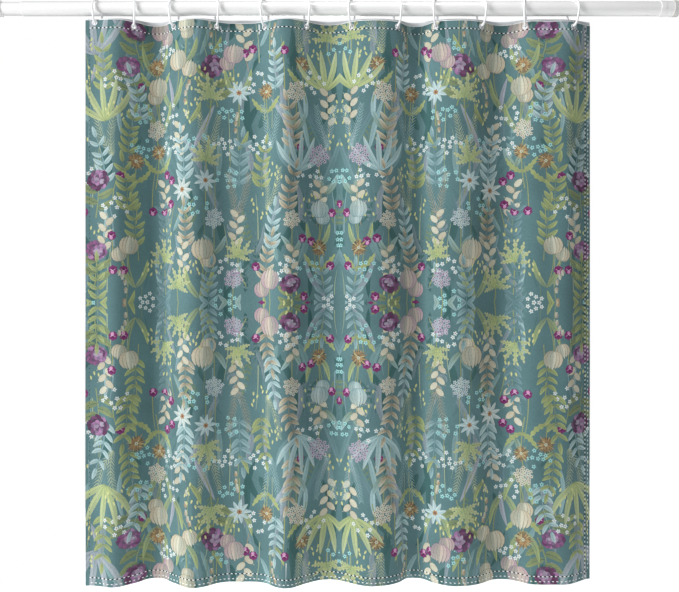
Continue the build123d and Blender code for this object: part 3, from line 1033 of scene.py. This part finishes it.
def strand_at(n, depth):
    """Where ring n's lower strand passes a depth behind the rod, in mm."""
    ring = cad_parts[f"ring_{n:02d}"]
    spots = np.array([tuple(ring.matrix_world @ vertex.co) for vertex in ring.data.vertices]) / MM
    near = spots[(np.abs(spots[:, 1] - depth) < 3) & (spots[:, 2] < -38)]
    return near.mean(axis=0)


def liner_hole(n):
    """The hole that hangs on ring n, on the flat liner."""
    x = centres[n - 1][0]
    for _ in range(3):
        u = np.interp(x, plan_x, along)
        x, _y, z = strand_at(n, float(liner_hang(u, 20.0)[1]) / MM)
    return float(np.interp(x, plan_x, along)), LINER_TOP - z + LINER_SEAT


def rings_of_cord(name, hang_at, places, radius, cord, m):
    """Thin raised rings on a hanging sheet, round the given flat places."""
    points, faces = [], []
    for u, v in places:
        first = len(points)
        for k in range(24):
            a = 2 * math.pi * k / 24
            for j in range(6):
                b = 2 * math.pi * j / 6
                out = radius + cord * math.cos(b)
                points.append((u + out * math.cos(a), v + out * math.sin(a), cord * math.sin(b)))
                near, far = first + 6 * k, first + 6 * ((k + 1) % 24)
                faces.append((near + j, near + (j + 1) % 6, far + (j + 1) % 6, far + j))
    points = np.array(points)
    return new_object(name, hang_at(points[:, 0], points[:, 1], points[:, 2]), faces, m)


LINER_SEAT, LINER_HOLE_R = 3.3, 8.0
SLIVER = 0.02
LINER_BAND, LINER_HEM = 40.0, 25.0
BEHIND, FURTHER, LINER_BEHIND = -0.35, -0.75, -0.3
ACROSS, INSET = (0, WIDTH, 231), (2, WIDTH - 2, 231)


def turned_back(u, v):
    """Where the cloth's turned-back layers hang."""
    return hang(u, v, FURTHER)


def liner_back(u, v, w=0.0):
    """Where the layers behind the liner hang."""
    return liner_hang(u, v, w + LINER_BEHIND)


back = layer("curtain_back", lambda u, v: hang(u, v, BEHIND), ACROSS, (0, HEIGHT, 41), lining,
             eyelet_holes, HOLE_R)
header = layer("header_layer", turned_back, INSET, (0, HEADER, 5), lining_fold, eyelet_holes, HOLE_R)
hem = layer("hem_layer", turned_back, INSET, (HEIGHT - HEM, HEIGHT, 4), lining_fold)
side_span = (HEADER + 1, HEIGHT - HEM - 1, 60)
left_turn = layer("left_layer", turned_back, (0, SIDE_HEM, 5), side_span, lining_fold)
right_turn = layer("right_layer", turned_back, (WIDTH - SIDE_HEM, WIDTH, 5), side_span, lining_fold)

liner_holes = [liner_hole(n) for n in RING_NUMBERS]
liner = layer("liner_sheet", liner_hang, ACROSS, (0, LINER_HEIGHT, 100), liner_film, liner_holes, LINER_HOLE_R)
band = layer("liner_band", liner_back, ACROSS, (0, LINER_BAND, 6), liner_fold, liner_holes, LINER_HOLE_R)
liner_hem = layer("liner_hem", liner_back, ACROSS, (LINER_HEIGHT - LINER_HEM, LINER_HEIGHT, 4), liner_fold)
rims = rings_of_cord("liner_rims", liner_back, liner_holes, LINER_HOLE_R + 0.7, 0.7, liner_fold)


# ================================================================ edges and stitching
def ribbon(name, path, radius, m):
    """A thin six-sided cord along a path of 3-D points."""
    sides_count = 6
    ahead = np.gradient(path, axis=0)
    ahead /= np.linalg.norm(ahead, axis=1)[:, None]
    up = np.where(np.abs(ahead[:, 2:3]) > 0.9, np.array([[0.0, 1.0, 0.0]]), np.array([[0.0, 0.0, 1.0]]))
    side = np.cross(ahead, up)
    side /= np.linalg.norm(side, axis=1)[:, None]
    up = np.cross(side, ahead)
    points, faces = [], []
    for k in range(sides_count):
        a = 2 * math.pi * k / sides_count
        points.append(path + radius * (math.cos(a) * side + math.sin(a) * up))
    points = np.stack(points, axis=1).reshape(-1, 3)
    for i in range(len(path) - 1):
        for k in range(sides_count):
            j = (k + 1) % sides_count
            near, far = i * sides_count, (i + 1) * sides_count
            faces.append((near + k, near + j, far + j, far + k))
    faces.append(tuple(range(sides_count))[::-1])
    faces.append(tuple((len(path) - 1) * sides_count + k for k in range(sides_count)))
    return new_object(name, points, faces, m)


def stitches(name, places, length, width, height, m):
    """Small padded ovals lying on the cloth: white stitches, or the near-black spots of painted shade beside
    them. Each place is (u, v, angle in the flat cloth).
    """
    points, faces = [], []
    around = [(math.cos(2 * math.pi * k / 8), math.sin(2 * math.pi * k / 8)) for k in range(8)]
    for u, v, angle in places:
        first = len(points)
        a = math.radians(angle)
        for size, proud in ((1.0, 0.15), (0.92, height * 0.6), (0.6, height)):
            for c, s in around:
                p, q = c * length / 2 * size, s * width / 2 * size
                spot = (u + p * math.cos(a) - q * math.sin(a), v + p * math.sin(a) + q * math.cos(a))
                points.append((*spot, proud + 0.25))
        for ring in (0, 8):
            for k in range(8):
                j = (k + 1) % 8
                faces.append((first + ring + k, first + ring + j, first + ring + 8 + j, first + ring + 8 + k))
        faces.append(tuple(first + 16 + k for k in range(8)))
    points = np.array(points)
    return new_object(name, hang(points[:, 0], points[:, 1], points[:, 2]), faces, m)


# a stitch every PITCH, in lines this far in from the top or bottom edge and from the right edge
PITCH, EDGE_LINE, SIDE_LINE = 14.2, 26.5, 21
columns = np.arange(16, WIDTH - 20, PITCH)
rows = np.arange(32, HEIGHT - 32, PITCH)
top_row = stitches("top_stitches", [(u, EDGE_LINE, 4) for u in columns], 7.4, 3.3, 0.9, thread_white)
bottom_row = stitches("bottom_stitches", [(u, HEIGHT - EDGE_LINE, 4) for u in columns]
                      + [(u + 5, HEIGHT - 10, 4) for u in columns], 7.4, 3.3, 0.9, thread_white)
right_row = stitches("right_stitches", [(WIDTH - SIDE_LINE, v, 86) for v in np.arange(6, HEIGHT - 10, PITCH)]
                     + [(WIDTH - 9, v + 6, 86) for v in rows], 7.0, 3.3, 0.9, thread_white)
# The left line of stitches and the spots between the white stitches are near-black painted shade, with the
# needle holes in it.
left_row = stitches("left_stitches", [(13, v, 90) for v in rows], 4.0, 2.2, 0.5, stitch_shade_dark)
between = [(u + PITCH / 2, v, 0) for v in (EDGE_LINE, HEIGHT - EDGE_LINE) for u in columns]
between += [(WIDTH - SIDE_LINE, v + PITCH / 2, 90) for v in np.arange(6, HEIGHT - 16, PITCH)]
holes = stitches("needle_holes_painted_shade", between, 6.4, 4.4, 0.5, stitch_shade_dark)

u_line = np.linspace(0, WIDTH, 460)
top_edge = ribbon("top_edge", hang(u_line, np.full(460, -0.4), 0.0), 1.3 * MM, white_edge)
bottom_edge = ribbon("bottom_edge", hang(u_line, np.full(460, HEIGHT), 0.0), 0.6 * MM, white_edge)


# ================================================================ eyelets
# Half of an eyelet's section: its radius, and how far behind the cloth. The lips curl over both faces.
EYELET_SECTION = [(6.25, -1.1), (6.6, -1.5), (7.6, -1.65), (8.8, -1.4), (9.4, -0.95), (9.2, -0.7), (7.1, -0.6),
                  (7.1, 1.2), (9.2, 1.25), (9.4, 1.5), (8.8, 1.85), (7.6, 1.95), (6.6, 1.8), (6.25, 1.4)]


def eyelet_piece(n):
    """A pressed metal eyelet round its centre, square to the cloth's flank."""
    centre, h = Vector(centres[n - 1]), flank[n - 1]
    out, beside = Vector((-math.sin(h), math.cos(h), 0)), Vector((math.cos(h), math.sin(h), 0))
    up = Vector((0, 0, 1))
    turns, count = 48, len(EYELET_SECTION)
    points, faces = [], []
    for k in range(turns):
        a = 2 * math.pi * k / turns
        for radius, behind in EYELET_SECTION:
            spot = centre + out * behind + (beside * math.cos(a) + up * math.sin(a)) * radius
            points.append(spot * MM)
        for j in range(count):
            near, far, i = count * k, count * ((k + 1) % turns), (j + 1) % count
            faces.append((near + j, near + i, far + i, far + j))
    return new_object(f"eyelet_ring_{n:02d}", points, faces, eyelet_paint)


eyelet_pieces = [eyelet_piece(n) for n in RING_NUMBERS]


# ================================================================ bodies and replacements
stitching = [top_row, bottom_row, right_row, left_row, holes]
liner_pieces = [band, liner_hem, rims]
cloth_pieces = [back, header, hem, left_turn, right_turn, top_edge, bottom_edge]
for piece in [panel, liner, *cloth_pieces, *liner_pieces, *stitching]:
    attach(piece, "cloth")
    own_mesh(piece)
for n, piece in zip(RING_NUMBERS, eyelet_pieces):
    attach(piece, "lead_ring" if n == 1 else f"hanger_{n:02d}")
    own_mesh(piece)
    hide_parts(f"eyelet_{n:02d}")
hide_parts("curtain_panel")
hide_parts("header_band")
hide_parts("bottom_hem")
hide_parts("left_hem")
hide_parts("right_hem")
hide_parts("liner_panel")
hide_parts("top_stitching")
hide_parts("bottom_stitching")
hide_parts("right_stitching")
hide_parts("left_stitching")


# ================================================================ stage, light and camera
def stage_floor():
    m, tree, shader = material("floor", (0.93, 0.93, 0.93), 0.9)
    patches = node(tree, "ShaderNodeTexNoise", Scale=2.0, Detail=3.0)
    tone = mixed(tree, patches.outputs["Fac"], (0.88, 0.88, 0.88, 1), (0.84, 0.84, 0.845, 1))
    wire(tree, tone, shader.inputs["Base Color"])
    shader.inputs["Emission Color"].default_value = (1, 1, 1, 1)
    shader.inputs["Emission Strength"].default_value = 0.72
    size, level = 2.6, cad_box[0][2] - 0.35
    corners = [(-size, -size, level), (size, -size, level), (size, size, level), (-size, size, level)]
    obj = new_object("floor", corners, [(0, 1, 2, 3)], m, False)


def area_light(name, place, aim, width, height, power):
    data = bpy.data.lights.new(name, "AREA")
    data.shape, data.size, data.size_y, data.energy = "RECTANGLE", width, height, power
    obj = bpy.data.objects.new(name, data)
    bpy.context.scene.collection.objects.link(obj)
    obj.location = place
    obj.rotation_euler = (Vector(aim) - Vector(place)).to_track_quat("-Z", "Y").to_euler()
    return obj


stage_floor()
area_light("key", (-5.4, -2.0, -0.1), (-1.1, 0, -0.9), 1.3, 1.3, 215)
area_light("back", (-1.6, 3.2, 0.2), (-1.1, 0, -0.9), 1.3, 1.3, 40)
area_light("top", (-1.0, -0.7, 1.3), (-1.0, 0, 0), 1.2, 0.9, 20)

world = bpy.data.worlds.new("studio")
bpy.context.scene.world = world
world.use_nodes = True
tree = world.node_tree
background = tree.nodes["Background"]
seen = node(tree, "ShaderNodeLightPath")
glow = mixed(tree, seen.outputs["Is Camera Ray"], (0.205, 0.21, 0.215, 1), (1.0, 1.0, 1.0, 1))
wire(tree, glow, background.inputs["Color"])
bpy.context.scene.view_settings.view_transform = "Standard"

camera_data = bpy.data.cameras.new("camera")
camera_data.lens = 37.0
camera_data.sensor_width = 36.0
camera_data.shift_y = -0.0324
camera_data.clip_end = 60
camera = bpy.data.objects.new("camera", camera_data)
bpy.context.scene.collection.objects.link(camera)
camera.location = (-1.115, -2.3, -0.874)
camera.rotation_euler = (math.radians(90), 0, 0)
bpy.context.scene.camera = camera
